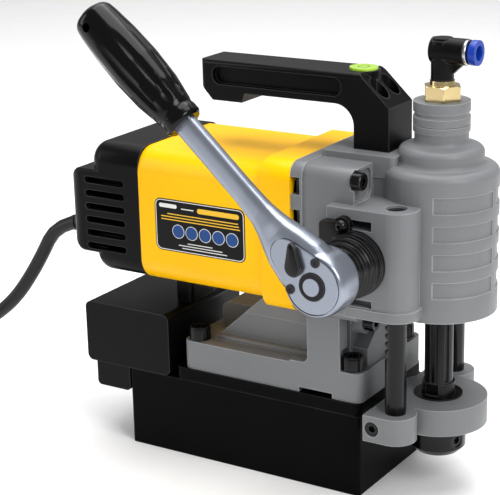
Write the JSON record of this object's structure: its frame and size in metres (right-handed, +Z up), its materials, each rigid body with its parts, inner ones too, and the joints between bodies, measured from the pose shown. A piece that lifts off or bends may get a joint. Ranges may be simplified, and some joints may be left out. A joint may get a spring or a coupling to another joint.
{
  "type": "magnetic drill press",
  "caption": "Low-profile magnetic drill press: electromagnet base, horizontal motor, rack-fed spindle carrier, feed ratchet, carry handle, coolant fitting and coiled mains cord.",
  "frame": {"origin": "centre of the magnet's bottom face", "axes": "+X towards the spindle, -Y towards the operator's side with the feed ratchet, +Z up"},
  "size_m": [0.5286, 0.1866, 0.2821],
  "materials": {
    "casting_grey": "grey hammer-fine powder coat on die-cast aluminium",
    "magnet_black": "satin black paint on steel",
    "black_steel": "black oxide",
    "bright_steel": "ground steel",
    "ratchet_chrome": "satin chrome plate",
    "yellow_shell": "semi-gloss moulded nylon",
    "black_plastic": "moulded glass-filled nylon",
    "grip_black": "satin moulded plastic",
    "label": "printed plate, plain",
    "copper": "enamelled copper",
    "potting": "cast epoxy",
    "brass": "turned brass",
    "blue_plastic": "acetal",
    "lime_vial": "clear lime acrylic",
    "cord_rubber": "matt rubber",
    "green_button": "moulded",
    "red_button": "moulded"
  },
  "bodies": {
    "root": {"magnet_core": "magnet_black", "magnet_coil": "copper", "magnet_potting": "potting", "magnet_top_plate": "magnet_black", "base_casting": "casting_grey", "base_screws": "black_steel", "gearbox_housing": "casting_grey", "bearing_plate": "casting_grey", "gearbox_screws": "black_steel", "ball_bearings": "bright_steel", "pinion_bushes": "brass", "feed_hub": "black_steel", "pinion_end_cover": "black_plastic", "motor_housing": "yellow_shell", "rating_plate": "label", "field_stator": "bright_steel", "rear_cap": "black_plastic", "rear_cap_screws": "black_steel", "brush_sets": "brass", "carry_handle": "black_plastic", "handle_bolts": "black_steel", "bubble_level": "lime_vial", "control_box": "black_plastic", "control_panel": "black_plastic", "power_lamp": "green_button", "control_electronics": "black_plastic", "wire_duct": "black_plastic", "coolant_adapter": "brass", "strain_relief": "cord_rubber", "cord_coil": "cord_rubber", "mains_cord": "cord_rubber", "plug_body": "cord_rubber", "plug_pins": "brass"},
    "quill": {"spindle_carrier": "casting_grey", "carrier_clamp_screws": "black_steel", "rack_rods": "black_steel", "spindle_bearing": "bright_steel", "spindle_seal": "black_plastic"},
    "feed_pinion": {"pinion_shaft": "black_steel", "feed_pinions": "bright_steel", "ratchet_drive": "bright_steel"},
    "release_button": {"release_button": "ratchet_chrome"},
    "spindle": {"spindle_shaft": "black_steel", "arbor_collar": "black_steel", "arbor_set_screws": "black_steel"},
    "drive_sleeve": {"drive_sleeve": "bright_steel"},
    "idler": {"idler_shaft": "bright_steel"},
    "armature": {"armature_shaft": "bright_steel", "armature_core": "bright_steel", "commutator": "copper", "cooling_fan": "black_plastic"},
    "ratchet": {"ratchet_head": "ratchet_chrome", "ratchet_cover": "ratchet_chrome", "ratchet_grip": "grip_black"},
    "reversing_lever": {"reversing_lever": "black_plastic"},
    "start_button": {"start_button": "green_button"},
    "stop_button": {"stop_button": "red_button"},
    "magnet_rocker": {"magnet_rocker": "red_button"},
    "elbow": {"elbow_body": "black_plastic"},
    "release_collar": {"release_collar": "blue_plastic"}
  },
  "joints": [
    {"name": "quill_feed", "type": "slide", "parent": "root", "child": "quill", "axis": [0, 0, 1], "range_m": [-0.012, 0.043]},
    {"name": "pinion_turn", "type": "hinge", "parent": "root", "child": "feed_pinion", "pos_m": [0.0835, 0, 0.1444], "axis": [0, 1, 0], "range_deg": [-165, 46.5]},
    {"name": "ratchet_swing", "type": "hinge", "parent": "root", "child": "ratchet", "pos_m": [0.0835, -0.08, 0.1444], "axis": [0, 1, 0], "range_deg": [-70, 165]},
    {"name": "reversing_flip", "type": "hinge", "parent": "ratchet", "child": "reversing_lever", "pos_m": [0.07333, -0.098, 0.15372], "axis": [0, 1, 0], "range_deg": [-87, 0]},
    {"name": "socket_release", "type": "slide", "parent": "feed_pinion", "child": "release_button", "axis": [0, 1, 0], "range_m": [0, 0.0015], "stiffness_N_per_m": 600, "springref_m": -0.001},
    {"name": "armature_spin", "type": "hinge", "parent": "root", "child": "armature", "pos_m": [0, 0, 0.149], "axis": [1, 0, 0], "continuous": true},
    {"name": "idler_spin", "type": "hinge", "parent": "root", "child": "idler", "pos_m": [0.06, 0, 0.1715], "axis": [1, 0, 0], "continuous": true},
    {"name": "sleeve_spin", "type": "hinge", "parent": "root", "child": "drive_sleeve", "pos_m": [0.11, 0, 0.15], "axis": [0, 0, 1], "continuous": true},
    {"name": "spindle_spin", "type": "hinge", "parent": "quill", "child": "spindle", "pos_m": [0.11, 0, 0.05], "axis": [0, 0, 1], "continuous": true},
    {"name": "elbow_swivel", "type": "hinge", "parent": "root", "child": "elbow", "pos_m": [0.11, 0, 0.245], "axis": [0, 0, 1], "continuous": true},
    {"name": "tube_release", "type": "slide", "parent": "elbow", "child": "release_collar", "axis": [-1, 0, 0], "range_m": [0, 0.0012], "stiffness_N_per_m": 600, "springref_m": -0.001},
    {"name": "start_press", "type": "slide", "parent": "root", "child": "start_button", "axis": [1, 0, 0], "range_m": [0, 0.002], "stiffness_N_per_m": 500, "springref_m": -0.001},
    {"name": "stop_press", "type": "slide", "parent": "root", "child": "stop_button", "axis": [1, 0, 0], "range_m": [0, 0.002], "stiffness_N_per_m": 500, "springref_m": -0.001},
    {"name": "magnet_switch", "type": "hinge", "parent": "root", "child": "magnet_rocker", "pos_m": [-0.111, -0.02, 0.0688], "axis": [0, 1, 0], "range_deg": [-10, 0]}
  ],
  "couplings": [
    {"joint": "pinion_turn", "follows": "quill_feed", "rad_per_m": -66.667},
    {"joint": "idler_spin", "follows": "armature_spin", "ratio": -0.5},
    {"joint": "sleeve_spin", "follows": "armature_spin", "ratio": 0.20833},
    {"joint": "spindle_spin", "follows": "armature_spin", "ratio": 0.20833}
  ]
}
